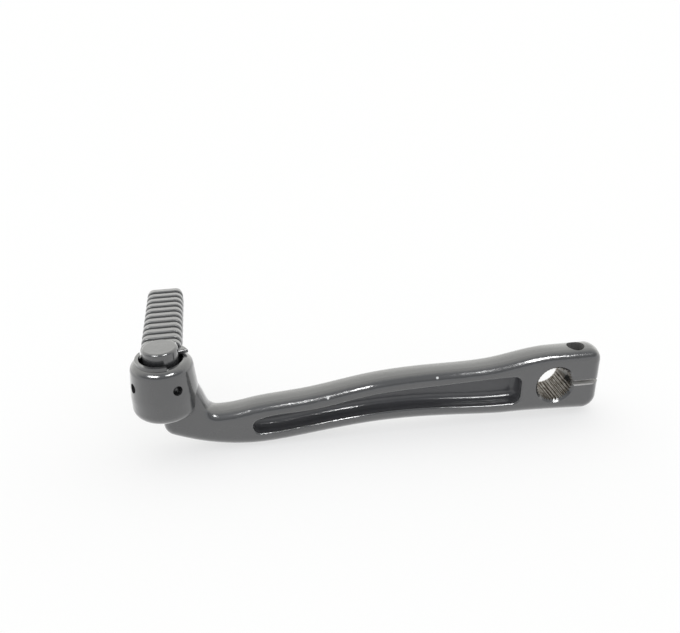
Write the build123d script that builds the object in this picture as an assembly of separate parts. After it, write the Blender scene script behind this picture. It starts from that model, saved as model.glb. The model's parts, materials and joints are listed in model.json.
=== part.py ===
"""Folding kick start lever: a forged arm with a splined clamp, a ribbed folding pedal and its ball detent.

Millimetres. The origin is the middle of the splined bore. +X runs along the arm towards the clamp's slit end,
+Y along the bore, away from the engine, and +Z up. The pedal is modelled unfolded.
"""
from build123d import *
from math import pi, sqrt
import os

# Clamp boss
bore_length = 16.0
spline_tip_diameter = 14.0
spline_root_diameter = 15.1
spline_count = 36
spline_tip_land = 0.36
spline_root_land = 0.25
bore_chamfer = 1.15
boss_top = 12.7
boss_bottom = -12.2
boss_end = 18.1
boss_heel = 9.7
boss_slope = 0.05
boss_top_corner = 5.0
boss_bottom_corner = 6.0
collar_diameter = 20.4
collar_edge = 1.2
slit_width = 1.7
slit_edge = 0.4
bolt_offset = 9.3
bolt_clearance_diameter = 7.0
bolt_thread_diameter = 5.0

# Arm: distance from bore to barrel, and the section along the S-curve as
# (share of that distance, height of the centre line, height of the section)
centre_distance = 151.2
arm_stations = (
    (0.16, -0.9, 20.6),
    (0.32, -0.5, 18.2),
    (0.50, -1.3, 16.6),
    (0.66, -4.5, 15.3),
    (0.79, -6.2, 14.9),
)
arm_thickness = 12.0
arm_crown = 1.2
arm_edge = 4.0
web_dip = 1.5
web_reach = 5.9
web_waist = (0.8, 5.2)
web_height = 15.0
web_sink = 2.8
web_heading = (-1.0, 4.0)
nose_overhang = 0.7
nose_rise = 8.6
nose_heading = (2.0, -1.0)
nose_corner = 5.0

# Pocket in the face on the engine side
pocket_depth = 6.0
pocket_rim = 4.5
pocket_start = 14.2
pocket_tip_gap = 31.4
pocket_tip_radius = 3.0
pocket_droop = 20.0
pocket_corner = 3.0
pocket_lip = 0.9
pocket_lip_share = 0.95
pocket_floor_edge = 2.6

# Barrel at the pedal end
barrel_diameter = 24.6
barrel_rim_diameter = 22.4
barrel_straight = 9.0
barrel_side_radius = 20.0
barrel_bottom = 1.6
barrel_height = 21.6
barrel_top_edge = 3.0
barrel_bottom_edge = 4.0
mouth_diameter = 16.0
mouth_depth = 3.8
barrel_floor = 4.0
land_width = 1.3
land_height = 1.2
land_root = 1.2

# Pedal
post_diameter = 13.0
post_clearance = 0.05
post_stand = 5.1
post_top_edge = 0.9
post_end_gap = 0.4
pedal_angle = 91.5
fold_angle = 90.0
bar_length = 57.2
bar_width = 14.9
bar_drop = 1.1
bar_height = 8.6
bar_shoulder = 3.0
rib_count = 11
rib_pitch = 4.9
rib_width = 3.0
rib_depth = 1.0
rib_edge = 0.6
rim_clearance = 0.4
lug_radius = 10.2
lug_height = 1.4
lug_edge = 0.6
lug_angle = 18.0
stop_gap = 0.3
stop_gap_angle = 1.5

# Detent
detent_angle = -61.0
detent_height = 13.8
detent_hole_diameter = 3.6
ball_diameter = 5.5
ball_clearance = 0.1
track_depth = 0.3
spring_wire = 0.8
spring_turns = 4.0
spring_seat = 4.5
spring_gap = 0.05

# Derived places
beyond = 1.0
front = -bore_length / 2
back = bore_length / 2
arm_middle = front + arm_thickness / 2
barrel_x = -centre_distance
barrel_radius = barrel_diameter / 2
barrel_top = barrel_bottom + barrel_height
bearing_radius = post_diameter / 2 + post_clearance
post_bottom = barrel_bottom + barrel_floor + post_end_gap
post_top = barrel_top + post_stand
bar_top = post_top - bar_drop
land_inner = mouth_diameter / 2
land_outer = land_inner + land_width
detent_z = barrel_bottom + detent_height
ball_radius = ball_diameter / 2
ball_track = bearing_radius + track_depth - ball_radius - ball_clearance
spring_radius = ball_radius - spring_wire / 2 - spring_gap
to_boss = (1, 0)
to_barrel = (-1, 0)
side = Plane(origin=(0, front, 0), x_dir=(1, 0, 0), z_dir=(0, -1, 0))
barrel_axis = Pos(barrel_x, arm_middle, 0)
along_pedal = Rot(0, 0, pedal_angle - 90)


def corner(sketch, x, z):
    """The corner of an outline that lies nearest to a point."""
    return sketch.vertices().sort_by_distance((x, z, 0))[0]


def arm_line(sign, inset=0.0):
    """Points along the arm's upper (+1) or lower (-1) edge, from the boss to the barrel, moved inwards by inset."""
    points = []
    for share, middle, height in arm_stations:
        points.append((-share * centre_distance, middle + sign * (height / 2 - inset)))
    return points


def forging_outline(grow):
    """The outline of boss, S-curved arm, web up to the barrel and nose under it, moved outwards by grow."""
    upper = arm_line(1, -grow)
    lower = arm_line(-1, -grow)
    top = boss_top + grow
    bottom = boss_bottom - grow
    end = boss_end + grow
    shoulder = (0, top)
    right_top = (end, top)
    heel = (boss_heel, bottom)
    right_bottom = (end, bottom - boss_slope * (end - boss_heel))
    wall_x = barrel_x + barrel_radius + grow
    web_z = upper[-1][1] - web_dip
    web_foot = (wall_x + web_reach, web_z)
    web_middle = (wall_x + web_waist[0], web_z + web_waist[1])
    web_head = (wall_x - web_sink, web_z + web_height)
    nose_x = barrel_x - nose_overhang - grow
    nose_top = (nose_x, web_head[1])
    nose_tip = (nose_x, lower[-1][1] + nose_rise)
    outline = make_face(
        [
            Line(right_top, shoulder),
            Spline(shoulder, *upper, web_foot, tangents=(to_barrel, to_barrel)),
            Spline(web_foot, web_middle, web_head, tangents=(to_barrel, web_heading)),
            Line(web_head, nose_top),
            Line(nose_top, nose_tip),
            Spline(nose_tip, *reversed(lower), heel, tangents=(nose_heading, (1, -boss_slope))),
            Line(heel, right_bottom),
            Line(right_bottom, right_top),
        ]
    )
    barrel_corners = [corner(outline, *place) for place in (web_head, nose_top, nose_tip)]
    outline = fillet(barrel_corners, nose_corner)
    outline = fillet(corner(outline, *right_top), boss_top_corner)
    return fillet(corner(outline, *right_bottom), boss_bottom_corner)


def slab():
    """The forging's body: fullest along its middle, where the dies part, and well rounded at both faces."""
    layers = ((0, 0), (arm_crown, arm_thickness / 2), (0, arm_thickness))
    body = loft([side.offset(-depth) * forging_outline(grow) for grow, depth in layers])
    by_depth = body.faces().sort_by(Axis.Y)
    return fillet(by_depth[0].edges() + by_depth[-1].edges(), arm_edge)


def pocket():
    """The cutter for the long hollow in the engine-side face: square by the boss, with a round, drooping tip."""
    upper = arm_line(1, pocket_rim)[:-1]
    lower = arm_line(-1, pocket_rim)
    start_middle = arm_stations[0][1]
    start_half = arm_stations[0][2] / 2 - pocket_rim
    start_top = (-pocket_start, start_middle + start_half)
    start_bottom = (-pocket_start, start_middle - start_half)
    tip_centre = Vector(barrel_x + pocket_tip_gap + pocket_tip_radius, lower[-1][1] + pocket_tip_radius)
    tip = CenterArc(tip_centre, pocket_tip_radius, 90 + pocket_droop, 180 - pocket_droop)
    outline = make_face(
        [
            Line(start_bottom, start_top),
            Spline(start_top, *upper, tip @ 0, tangents=(to_barrel, tip % 0)),
            tip,
            Spline(tip @ 1, *reversed(lower[:-1]), start_bottom, tangents=(tip % 1, to_boss)),
        ]
    )
    outline = fillet([corner(outline, *start_top), corner(outline, *start_bottom)], pocket_corner)
    cutter = extrude(side * outline, -pocket_depth)
    return fillet(cutter.faces().sort_by(Axis.Y)[-1].edges(), pocket_floor_edge)


def splined_bore():
    """The cutter for the serrated bore: a hole at the tooth tips with a V groove between each pair of teeth."""
    tip = spline_tip_diameter / 2
    root = spline_root_diameter / 2
    half_mouth = (2 * pi * tip / spline_count - spline_tip_land) / 2
    half_root = spline_root_land / 2
    mouth_x = sqrt(tip**2 - half_mouth**2)
    inside_x = 2 * tip - root
    groove = make_face(
        Polyline(
            (inside_x, -half_mouth),
            (mouth_x, -half_mouth),
            (root, -half_root),
            (root, half_root),
            (mouth_x, half_mouth),
            (inside_x, half_mouth),
            close=True,
        )
    )
    section = Circle(tip) + [place * groove for place in PolarLocations(0, spline_count)]
    cutter = extrude(side * section, -bore_length)
    funnel = Cone(tip + bore_chamfer, tip, bore_chamfer, align=(Align.CENTER, Align.CENTER, Align.MIN))
    cutter += Pos(0, front, 0) * Rot(-90, 0, 0) * funnel
    cutter += Pos(0, back, 0) * Rot(90, 0, 0) * funnel
    return cutter


def slit():
    """The cutter for the clamp's slit, from the bore out to the end, with its edges broken on the faces."""
    end = boss_end + arm_crown
    length = end + beyond
    cutter = Pos(length / 2, 0, 0) * Box(length, bore_length, slit_width)
    flare = sqrt(2) * (slit_width / 2 + slit_edge)
    for face in (front, back):
        cutter += Pos(length / 2, face, 0) * Rot(45, 0, 0) * Box(length, flare, flare)
    cutter += Pos(end, 0, 0) * Rot(0, 45, 0) * Box(flare, bore_length, flare)
    return cutter


def upright(radius, low, high):
    """A round bar along Z between two heights."""
    return Pos(0, 0, low) * Cylinder(radius, high - low, align=(Align.CENTER, Align.CENTER, Align.MIN))


def bolt_hole():
    """The cutter for the pinch bolt: a clearance hole above the slit and the thread's core below it."""
    reach = arm_crown + beyond
    clearance = upright(bolt_clearance_diameter / 2, 0, boss_top + reach)
    thread = upright(bolt_thread_diameter / 2, boss_bottom - reach, 0)
    return Pos(bolt_offset, arm_middle, 0) * (clearance + thread)


def radial_rod(radius, start, end, angle):
    """A round rod that lies level at the detent's height, along a radius of the barrel."""
    return Pos(0, 0, detent_z) * Rot(0, 0, angle) * Rot(0, 90, 0) * upright(radius, start, end)


def sector(inner, outer, low, high, start, sweep_angle):
    """A piece of a flat ring about Z, from one angle on through a sweep."""
    profile = Plane.XZ * Pos((inner + outer) / 2, (low + high) / 2) * Rectangle(outer - inner, high - low)
    return Rot(0, 0, start) * revolve(profile, Axis.Z, sweep_angle)


def stop_land():
    """The raised ring on the rim: one end stops the bar's side, the other the lug when the pedal is folded."""
    end = 360 + lug_angle - fold_angle - stop_gap_angle
    low = barrel_top - land_root
    high = barrel_top + land_height
    ring = sector(land_inner, land_outer, low, high, pedal_angle, end - pedal_angle)
    room = Box(bar_width + 2 * stop_gap, 2 * land_outer, 2 * (high - low))
    return ring - along_pedal * Pos(0, land_outer, barrel_top) * room


def barrel_body():
    """The barrel's outside: straight below, drawn in towards the rim, with rounded ends and the stop land."""
    rim = barrel_rim_diameter / 2
    waist = barrel_bottom + barrel_straight
    profile = make_face(
        Polyline(
            (0, barrel_bottom),
            (barrel_radius, barrel_bottom),
            (barrel_radius, waist),
            (rim, barrel_top),
            (0, barrel_top),
            close=True,
        )
    )
    profile = fillet(corner(profile, barrel_radius, waist), barrel_side_radius)
    profile = fillet(corner(profile, barrel_radius, barrel_bottom), barrel_bottom_edge)
    profile = fillet(corner(profile, rim, barrel_top), barrel_top_edge)
    return revolve(Plane.XZ * profile, Axis.Z, 360) + stop_land()


def barrel_hollow():
    """The cutter for the post's bearing, the wider mouth, the ball's track and the two detent holes."""
    hollow = upright(bearing_radius, barrel_bottom + barrel_floor, post_top)
    hollow += upright(mouth_diameter / 2, barrel_top - mouth_depth, post_top)
    hollow += Pos(0, 0, detent_z) * Torus(ball_track, ball_radius + ball_clearance)
    for angle in (detent_angle, detent_angle - fold_angle):
        hollow += radial_rod(detent_hole_diameter / 2, ball_track, barrel_radius + beyond, angle)
    return hollow


def lever_arm():
    """The one-piece forging, with everything that is machined into it."""
    collar = Rot(-90, 0, 0) * upright(collar_diameter / 2, arm_middle, back)
    collar = fillet(collar.edges().group_by(Axis.Y)[-1], collar_edge)
    body = slab() - pocket()
    rim = body.faces().sort_by(Axis.Y)[0]
    mouth = rim.inner_wires()[0]
    flat = rim.outer_wire().distance_to(mouth)
    body = fillet(mouth.edges(), min(pocket_lip, pocket_lip_share * flat))
    body += barrel_axis * barrel_body() + collar
    body -= splined_bore()
    body -= slit()
    body -= bolt_hole()
    return body - barrel_axis * barrel_hollow()


def bar_block(width, top, start, end):
    """A stretch of the foot bar along +Y, with a rounded section."""
    bottom = bar_top - bar_height
    section = Pos(0, (top + bottom) / 2) * RectangleRounded(width, top - bottom, bar_shoulder)
    across = Plane(origin=(0, start, 0), x_dir=(1, 0, 0), z_dir=(0, -1, 0))
    return extrude(across * section, start - end)


def foot_bar():
    """The ribbed bar: a core with rounded ribs along it, hollowed over the barrel so that it clears the rim."""
    bar = bar_block(bar_width - 2 * rib_depth, bar_top - rib_depth, 0, bar_length - rib_edge)
    for i in range(rib_count):
        end = bar_length - i * rib_pitch
        rib = bar_block(bar_width, bar_top, end - rib_width, end)
        bar += fillet(rib.faces().filter_by(Axis.Y).edges(), rib_edge)
    plan = Pos(0, bar_length / 2) * Rectangle(bar_width, bar_length)
    plan = fillet([corner(plan, -bar_width, bar_length), corner(plan, bar_width, bar_length)], bar_shoulder)
    bar &= extrude(plan, post_top)
    return bar - upright(barrel_radius + rim_clearance, 0, barrel_top + rim_clearance)


def foot_pedal():
    """The one-piece pedal: ribbed bar, pivot post and stop lug, with the cross hole for the detent."""
    post = upright(post_diameter / 2, post_bottom, post_top)
    post = fillet(post.edges().group_by(Axis.Z)[-1], post_top_edge)
    lug_low = barrel_top + rim_clearance
    lug = sector(land_inner / 2, lug_radius, lug_low, lug_low + lug_height, lug_angle, pedal_angle - lug_angle)
    lug = fillet(lug.edges().group_by(Axis.Z)[-1], lug_edge)
    pedal = post + lug + along_pedal * foot_bar()
    pedal -= radial_rod(ball_radius + ball_clearance, -spring_seat, post_diameter, detent_angle)
    return barrel_axis * pedal


def along_detent(shape):
    """Lay a shape made along +Z into the post's cross hole, with the barrel's axis at its origin."""
    return barrel_axis * Pos(0, 0, detent_z) * Rot(0, 0, detent_angle) * Rot(0, 90, 0) * shape


def detent_ball():
    """The steel ball, running in the barrel's track."""
    return along_detent(Pos(0, 0, ball_track) * Sphere(ball_radius))


def detent_spring():
    """The coil spring between the bottom of the cross hole and the ball."""
    reach = ball_radius + spring_wire / 2 + spring_gap
    start = spring_gap + spring_wire / 2 - spring_seat
    end = ball_track - sqrt(reach**2 - spring_radius**2)
    coil = Helix((end - start) / spring_turns, end - start, spring_radius)
    wire = sweep(Plane(origin=coil @ 0, z_dir=coil % 0) * Circle(spring_wire / 2), coil, is_frenet=True)
    return along_detent(Pos(0, 0, start) * wire)


os.makedirs("parts", exist_ok=True)
for make in (lever_arm, foot_pedal, detent_ball, detent_spring):
    export_step(make(), f"parts/{make.__name__}.step")
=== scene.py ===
import json
from math import cos, hypot, pi, radians, sin, tan

import bpy
from mathutils import Matrix, Vector


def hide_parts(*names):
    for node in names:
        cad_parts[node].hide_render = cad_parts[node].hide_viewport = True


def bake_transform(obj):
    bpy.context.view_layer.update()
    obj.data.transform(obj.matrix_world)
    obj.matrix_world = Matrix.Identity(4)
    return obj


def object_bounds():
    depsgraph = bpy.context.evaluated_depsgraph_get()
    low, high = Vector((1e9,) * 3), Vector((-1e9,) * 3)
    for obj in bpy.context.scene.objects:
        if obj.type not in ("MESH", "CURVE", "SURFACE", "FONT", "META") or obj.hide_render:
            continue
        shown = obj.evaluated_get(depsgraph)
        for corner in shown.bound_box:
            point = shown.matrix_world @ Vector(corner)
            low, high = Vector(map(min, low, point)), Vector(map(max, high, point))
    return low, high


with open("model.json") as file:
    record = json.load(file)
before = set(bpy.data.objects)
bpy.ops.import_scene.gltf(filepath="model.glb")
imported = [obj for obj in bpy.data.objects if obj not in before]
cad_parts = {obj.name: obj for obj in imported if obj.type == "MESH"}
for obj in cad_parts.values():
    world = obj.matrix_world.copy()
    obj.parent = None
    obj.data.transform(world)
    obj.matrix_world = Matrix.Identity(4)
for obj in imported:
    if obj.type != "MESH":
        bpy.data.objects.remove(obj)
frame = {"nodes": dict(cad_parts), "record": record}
cad_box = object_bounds()
nodes = frame["nodes"]
mounts = {mount["name"]: mount for mount in frame["record"]["mounts"]}
joints = {joint["name"]: joint for joint in frame["record"]["behaviour"]["joints"]}
scene = bpy.context.scene

# Places on the CAD model where one finish meets another, in metres
mm = 0.001
spline_margin = 0.0009
bore_inset = 0.00025
bore_radius = mounts["shaft_clamp"]["dims"]["r_mm"] * mm + spline_margin
bore_half = mounts["shaft_clamp"]["dims"]["length_mm"] * mm / 2 - bore_inset
slit_start = 0.00711
slit_half = 0.0013
bolt_margin = 0.0001
bolt_axis = Vector(mounts["pinch_bolt_hole"]["pos_m"])
bolt_radius = mounts["pinch_bolt_hole"]["dims"]["r_mm"] * mm + bolt_margin
barrel_axis = Vector(joints["pedal_fold"]["pos_m"])
bearing_radius = 0.0069
bearing_low = 0.003
tread_start = 0.005

# The arm's pocket: where its floor and mouth lie along Y, the step along X in which its floor is measured,
# and how many steps past the floor its walls may lie
pocket_floor = -0.002
pocket_mouth = -0.0071
pocket_step = 0.005
pocket_reach = 1.5
tolerance = 0.0001

# How much of a face's normal lies along an axis: hardly any of it, half of it, nearly all of it
little = 0.3
half = 0.5
nearly_all = 0.99

# The range that most of a noise texture's values fall in, and a narrower one for stains with firmer edges
noise_span = (0.3, 0.7)
stain_span = (0.35, 0.65)


class Shader:
    """A node tree under construction."""

    def __init__(self, tree):
        self.tree = tree
        tree.nodes.clear()

    def add(self, kind, values=None, **settings):
        """A node with some of its sockets set, or linked where the value is another socket."""
        node = self.tree.nodes.new(kind)
        for name, value in settings.items():
            setattr(node, name, value)
        for key, value in (values or {}).items():
            if isinstance(value, bpy.types.NodeSocket):
                self.tree.links.new(value, node.inputs[key])
            else:
                node.inputs[key].default_value = value
        return node

    def place(self):
        """Position in the object's own frame."""
        return self.add("ShaderNodeTexCoord").outputs["Object"]

    def noise(self, at, scale, detail):
        node = self.add("ShaderNodeTexNoise", {"Vector": at, "Scale": scale, "Detail": detail})
        return node.outputs["Fac"]

    def remap(self, value, span, to):
        """A value's place within a span, carried over to another span."""
        ends = {"From Min": span[0], "From Max": span[1], "To Min": to[0], "To Max": to[1]}
        return self.add("ShaderNodeMapRange", {"Value": value, **ends}).outputs["Result"]

    def math(self, operation, a, b):
        return self.add("ShaderNodeMath", {0: a, 1: b}, operation=operation).outputs["Value"]

    def vector_math(self, operation, a, b):
        return self.add("ShaderNodeVectorMath", {0: a, 1: b}, operation=operation).outputs

    def mix(self, share, a, b):
        """A blend of two colours; the node's sockets for colours share their names, so they go by number."""
        return self.add("ShaderNodeMix", {0: share, 6: a, 7: b}, data_type="RGBA").outputs[2]

    def bump(self, height, strength, distance, normal=None):
        values = {"Height": height, "Strength": strength, "Distance": distance}
        if normal:
            values["Normal"] = normal
        return self.add("ShaderNodeBump", values).outputs["Normal"]

    def surface(self, **values):
        """A principled surface wired to the output; the names' underscores stand for spaces."""
        bsdf = self.add("ShaderNodeBsdfPrincipled", {k.replace("_", " "): v for k, v in values.items()})
        self.add("ShaderNodeOutputMaterial", {"Surface": bsdf.outputs["BSDF"]})


def new_material(name):
    material = bpy.data.materials.new(name)
    material.use_nodes = True
    return material, Shader(material.node_tree)


# Paint: its gloss, its clear coat, and the dust on it
paint_ior = 1.6
dry_ior = 1.48
coat_ior = 1.62
cloud_dulling = 1.6
coat_dulling = 1.3
dust_cells = 330.0
dust_radius = 0.07
dust_rarity = 0.965
dust_roughness = 0.8
dust_colour = (0.85, 0.85, 0.84, 1)
speck_radius = 0.0005
specks = [(-0.0485, -0.0073, 0.0079), (-0.0911, -0.0074, 0.0035)]


def dust_mask(shader, at, specks):
    """One on grains of white dust, which lie in a few cells chosen at random, and on the given specks."""
    cells = shader.add("ShaderNodeTexVoronoi", {"Vector": at, "Scale": dust_cells}).outputs
    draw = shader.add("ShaderNodeSeparateColor", {0: cells["Color"]}).outputs[0]
    chosen = shader.math("GREATER_THAN", draw, dust_rarity)
    dust = shader.math("MULTIPLY", shader.math("LESS_THAN", cells["Distance"], dust_radius), chosen)
    for speck in specks:
        gap = shader.vector_math("DISTANCE", at, speck)["Value"]
        dust = shader.math("MAXIMUM", dust, shader.math("LESS_THAN", gap, speck_radius))
    return dust


def gloss_paint(name, dark, light, shine, coat=1.0, ior=paint_ior, specks=()):
    """Gloss paint on a forging: orange peel, slight clouding, and a little white dust."""
    material, shader = new_material(name)
    at = shader.place()
    clouds = shader.noise(at, scale=90.0, detail=3.0)
    waves = shader.noise(at, scale=140.0, detail=2.0)
    peel = shader.noise(at, scale=620.0, detail=2.0)
    grain = shader.noise(at, scale=2600.0, detail=1.0)
    dust = dust_mask(shader, at, specks)
    gloss = shader.remap(clouds, noise_span, (shine, cloud_dulling * shine))
    relief = shader.bump(waves, strength=0.12, distance=0.0004)
    relief = shader.bump(peel, strength=0.30, distance=0.00012, normal=relief)
    relief = shader.bump(grain, strength=0.05, distance=0.00002, normal=relief)
    shader.surface(
        Base_Color=shader.mix(dust, shader.mix(clouds, dark, light), dust_colour),
        Roughness=shader.math("MAXIMUM", gloss, shader.math("MULTIPLY", dust, dust_roughness)),
        IOR=ior,
        Normal=relief,
        Coat_Weight=coat,
        Coat_Roughness=coat_dulling * shine,
        Coat_IOR=coat_ior,
        Coat_Normal=relief,
    )
    return material


def broached_steel(name, dark, light, dullness):
    """Bare steel of the splines: dull, stained brown, with the broach's lines along the bore."""
    material, shader = new_material(name)
    at = shader.place()
    drawn_out = shader.vector_math("MULTIPLY", at, (1.0, 0.06, 1.0))["Vector"]
    lines = shader.noise(drawn_out, scale=5200.0, detail=2.0)
    stains = shader.remap(shader.noise(at, scale=420.0, detail=3.0), stain_span, (0.0, 1.0))
    shader.surface(
        Base_Color=shader.mix(stains, dark, light),
        Metallic=1.0,
        Roughness=shader.remap(lines, noise_span, dullness),
        Normal=shader.bump(lines, strength=0.25, distance=0.00004),
    )
    return material


def plain_steel(name, dark, light, dullness):
    """Machined steel with fine marks, which range from dark to light and over a span of roughness."""
    material, shader = new_material(name)
    marks = shader.noise(shader.place(), scale=1800.0, detail=3.0)
    shader.surface(
        Base_Color=shader.mix(marks, dark, light),
        Metallic=1.0,
        Roughness=shader.remap(marks, noise_span, dullness),
    )
    return material


arm_paint = gloss_paint(
    "arm_paint", dark=(0.036, 0.0365, 0.038, 1), light=(0.047, 0.0475, 0.049, 1), shine=0.11, specks=specks
)
# The pocket's paint has no clear coat, and its base colour, lighter than the arm's, is painted light that
# lifts the shade on the pocket's walls
pocket_paint_painted_light = gloss_paint(
    "pocket_paint_painted_light",
    dark=(0.088, 0.0885, 0.093, 1),
    light=(0.108, 0.1085, 0.114, 1),
    shine=0.11,
    coat=0.0,
    ior=dry_ior,
)
pedal_paint = gloss_paint(
    "pedal_paint", dark=(0.108, 0.1085, 0.108, 1), light=(0.138, 0.1385, 0.138, 1), shine=0.24
)
spline_steel = broached_steel(
    "spline_steel", dark=(0.12, 0.105, 0.088, 1), light=(0.31, 0.296, 0.276, 1), dullness=(0.28, 0.48)
)
slit_steel = plain_steel(
    "slit_steel", dark=(0.46, 0.455, 0.445, 1), light=(0.62, 0.615, 0.605, 1), dullness=(0.7, 0.85)
)
hole_steel = plain_steel(
    "hole_steel", dark=(0.22, 0.218, 0.214, 1), light=(0.37, 0.366, 0.36, 1), dullness=(0.7, 0.85)
)
bearing_steel = plain_steel(
    "bearing_steel", dark=(0.45, 0.44, 0.43, 1), light=(0.65, 0.64, 0.63, 1), dullness=(0.3, 0.45)
)
ball_steel = plain_steel(
    "ball_steel", dark=(0.72, 0.72, 0.72, 1), light=(0.82, 0.82, 0.81, 1), dullness=(0.22, 0.34)
)
wire_steel = plain_steel(
    "wire_steel", dark=(0.3, 0.29, 0.28, 1), light=(0.48, 0.47, 0.45, 1), dullness=(0.25, 0.4)
)


def paint_node(node, *materials):
    """Give a CAD node its materials, the first one all over."""
    mesh = nodes[node].data
    mesh.materials.clear()
    for material in materials:
        mesh.materials.append(material)
    return mesh


def pocket_faces(mesh):
    """Faces of the arm's pocket: its floor, and what lies around the floor and looks to its middle line."""
    spans = {}
    for face in mesh.polygons:
        if face.normal.y < -nearly_all and abs(face.center.y - pocket_floor) < tolerance:
            for corner in face.vertices:
                at = mesh.vertices[corner].co
                spans.setdefault(round(at.x / pocket_step), []).append(at.z)
    for face in mesh.polygons:
        at = face.center
        if not pocket_mouth < at.y < pocket_floor + tolerance:
            continue
        nearest = min(spans, key=lambda step: abs(step - at.x / pocket_step))
        if abs(nearest - at.x / pocket_step) > pocket_reach:
            continue
        low = min(spans[nearest])
        high = max(spans[nearest])
        if low < at.z < high or face.normal.z * (at.z - (low + high) / 2) < 0:
            yield face


def bare_steel(face):
    """The steel of a face of the arm that is machined and left bare, or None for a painted face."""
    at = face.center
    if hypot(at.x, at.z) < bore_radius and abs(at.y) < bore_half and abs(face.normal.y) < little:
        return spline_steel
    if hypot(at.x - barrel_axis.x, at.y - barrel_axis.y) < bearing_radius and at.z > bearing_low:
        return bearing_steel
    if at.x > slit_start and abs(at.z) < slit_half and abs(face.normal.z) > half:
        return slit_steel
    if hypot(at.x - bolt_axis.x, at.y - bolt_axis.y) < bolt_radius and abs(face.normal.z) < half:
        return hole_steel
    return None


def finish_arm():
    """Paint the arm, with uncoated paint in its pocket whose lighter colour is painted light lifting the
    pocket's shade, and leave its machined faces bare.
    """
    materials = [arm_paint, spline_steel, bearing_steel, slit_steel, pocket_paint_painted_light, hole_steel]
    arm = paint_node("lever_arm", *materials)
    for face in pocket_faces(arm):
        face.material_index = materials.index(pocket_paint_painted_light)
    for face in arm.polygons:
        steel = bare_steel(face)
        if steel:
            face.material_index = materials.index(steel)


def finish_pedal():
    """Paint the pedal, duller and lighter on its tread."""
    materials = [arm_paint, pedal_paint]
    pedal = paint_node("foot_pedal", *materials)
    for face in pedal.polygons:
        if face.center.y > tread_start:
            face.material_index = materials.index(pedal_paint)


def springy_coil():
    """A copy of the detent's spring, with its inner end in the post and its outer end on the ball, baked in
    place; the CAD node is hidden.
    """
    coil = nodes["detent_spring"].copy()
    coil.data = coil.data.copy()
    coil.name = "detent_coil"
    coil.parent = None
    scene.collection.objects.link(coil)
    along = Vector(joints["detent_slide"]["axis"])
    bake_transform(coil)
    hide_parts("detent_spring")


finish_arm()
finish_pedal()
paint_node("detent_ball", ball_steel)
paint_node("detent_spring", wire_steel)
springy_coil()

# Floor: a wide sheet just below the part, a share of it plain white to the eye, the rest with the shadow
floor_side = 12.0
floor_gap = 0.0001
floor_middle = Vector((-0.07, 2.0, cad_box[0].z - floor_gap))
floor_colour = (0.94, 0.94, 0.94, 1)
floor_whiteness = 0.65
plain_white = (1.0, 1.0, 1.0, 1)


def white_floor():
    """The floor's material; reflections and whatever is seen through glass show it white all over."""
    material, shader = new_material("floor_white")
    path = shader.add("ShaderNodeLightPath").outputs
    direct = shader.math("MULTIPLY", path["Is Camera Ray"], floor_whiteness)
    mirrored = shader.math("MAXIMUM", path["Is Glossy Ray"], path["Is Transmission Ray"])
    share = shader.math("MAXIMUM", direct, mirrored)
    matte = shader.add("ShaderNodeBsdfDiffuse", {"Color": floor_colour}).outputs[0]
    plain = shader.add("ShaderNodeEmission", {"Color": plain_white, "Strength": 1.0}).outputs[0]
    both = shader.add("ShaderNodeMixShader", {0: share, 1: matte, 2: plain}).outputs[0]
    shader.add("ShaderNodeOutputMaterial", {"Surface": both})
    material.cycles.emission_sampling = "NONE"
    return material


def lay_floor():
    """The floor's sheet."""
    corners = [(-1, -1), (1, -1), (1, 1), (-1, 1)]
    places = [floor_middle + Vector((x, y, 0)) * floor_side / 2 for x, y in corners]
    mesh = bpy.data.meshes.new("floor")
    mesh.from_pydata(places, [], [(0, 1, 2, 3)])
    mesh.materials.append(white_floor())
    floor = bpy.data.objects.new("floor", mesh)
    scene.collection.objects.link(floor)


lay_floor()


def softbox(name, target, azimuth, elevation, distance, size, half_beam, radiance):
    """A lamp with a narrow beam, aimed at a point from a compass direction and seen in reflections only."""
    turn = radians(azimuth)
    rise = radians(elevation)
    beam = radians(half_beam)
    away = Vector((cos(turn) * cos(rise), sin(turn) * cos(rise), sin(rise)))
    lamp = bpy.data.lights.new(name, "AREA")
    lamp.shape = "RECTANGLE"
    lamp.size, lamp.size_y = size
    lamp.spread = 2 * beam
    # A narrow beam is made brighter in its middle to keep the lamp's power, and the last factor undoes that
    lamp.energy = radiance * pi * size[0] * size[1] * (tan(beam) - beam) / tan(beam)
    stand = bpy.data.objects.new(name, lamp)
    scene.collection.objects.link(stand)
    stand.location = target + away * distance
    stand.rotation_euler = away.to_track_quat("Z", "Y").to_euler()
    stand.visible_camera = False
    stand.visible_diffuse = False


# Lamps: two on the barrel's rim, one on the arm's left half, one on the pocket's tip, two on the right half.
# Angles are in degrees, and distances and sizes in metres
rim_left = Vector((barrel_axis.x, -0.012, 0.021))
rim_right = rim_left - Vector((0.007, 0.0, 0.0))
arm_left = Vector((-0.096, -0.004, -0.006))
pocket_tip = Vector((-0.114, -0.003, -0.008))
arm_right = Vector((-0.008, -0.008, 0.010))
boss = Vector((-0.012, -0.008, 0.003))
for name, target, azimuth, elevation, distance, size, half_beam, radiance in [
    ("rim_left", rim_left, -128, 48, 0.15, (0.090, 0.040), 21, 31),
    ("rim_right", rim_right, -47, 48, 0.15, (0.055, 0.040), 18, 31),
    ("arm_left", arm_left, -84, 48, 0.12, (0.024, 0.030), 9, 100),
    ("pocket_tip", pocket_tip, -85, 52, 0.12, (0.022, 0.044), 6, 70),
    ("arm_right", arm_right, -72, 48, 0.12, (0.022, 0.050), 14, 31),
    ("boss", boss, -57, 47, 0.20, (0.030, 0.060), 9, 40),
]:
    softbox(name, target, azimuth, elevation, distance, size, half_beam, radiance)

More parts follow.
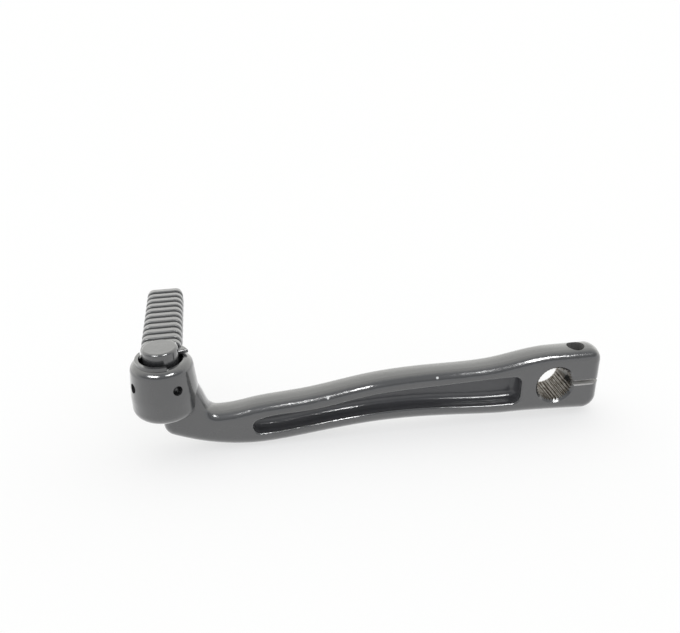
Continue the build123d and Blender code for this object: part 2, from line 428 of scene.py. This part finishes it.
# Surroundings: a bright wall behind, and on the camera's side a dimmer room above a low white screen.
# The edges are shares of a direction that lie along Y for the wall, and along Z for the room and the screen
wall_level = 1.40
wall_edge = (-0.35, 0.20)
wall_tint = (1.0, 1.0, 0.97, 1)
room_levels = (0.42, 0.72)
room_edge = (0.30, 0.60)
room_tint = (0.95, 0.97, 1.0, 1)
screen_level = 1.0
screen_edge = (0.16, 0.24)


def studio():
    """The world that lights the part, the same to every kind of ray."""
    world = bpy.data.worlds.new("studio")
    world.use_nodes = True
    shader = Shader(world.node_tree)
    direction = shader.add("ShaderNodeTexCoord").outputs["Generated"]
    along = shader.add("ShaderNodeSeparateXYZ", {0: direction}).outputs
    behind = shader.remap(along["Y"], wall_edge, (0.0, 1.0))
    room = shader.remap(along["Z"], room_edge, room_levels)
    front = shader.remap(along["Z"], screen_edge, (screen_level, room))
    level = shader.remap(behind, (0.0, 1.0), (front, wall_level))
    tint = shader.mix(behind, room_tint, wall_tint)
    light = shader.add("ShaderNodeBackground", {"Color": tint, "Strength": level}).outputs[0]
    shader.add("ShaderNodeOutputWorld", {"Surface": light})
    return world


scene.world = studio()

# Camera: a pinhole fitted to the photograph, with its focal length in the photograph's pixels
photo_width = 680
focal_pixels = 730.9
sensor_width = 36.0
near_limit = 0.01
camera_place = Vector((-0.1213, -0.2426, 0.1501))
yaw = radians(8.53)
pitch = radians(25.37)
roll = radians(-0.86)


def photo_camera():
    """A camera at the photograph's place, turned by yaw, pitch and roll."""
    ahead = Vector((sin(yaw) * cos(pitch), cos(yaw) * cos(pitch), -sin(pitch)))
    level_right = Vector((cos(yaw), -sin(yaw), 0.0))
    level_up = level_right.cross(ahead)
    right = cos(roll) * level_right + sin(roll) * level_up
    up = cos(roll) * level_up - sin(roll) * level_right
    lens = bpy.data.cameras.new("camera")
    lens.sensor_fit = "HORIZONTAL"
    lens.sensor_width = sensor_width
    lens.lens = sensor_width * focal_pixels / photo_width
    lens.clip_start = near_limit
    camera = bpy.data.objects.new("camera", lens)
    scene.collection.objects.link(camera)
    turned = Matrix((right, up, -ahead)).transposed().to_4x4()
    camera.matrix_world = Matrix.Translation(camera_place) @ turned
    return camera


scene.camera = photo_camera()
scene.view_settings.view_transform = "Standard"
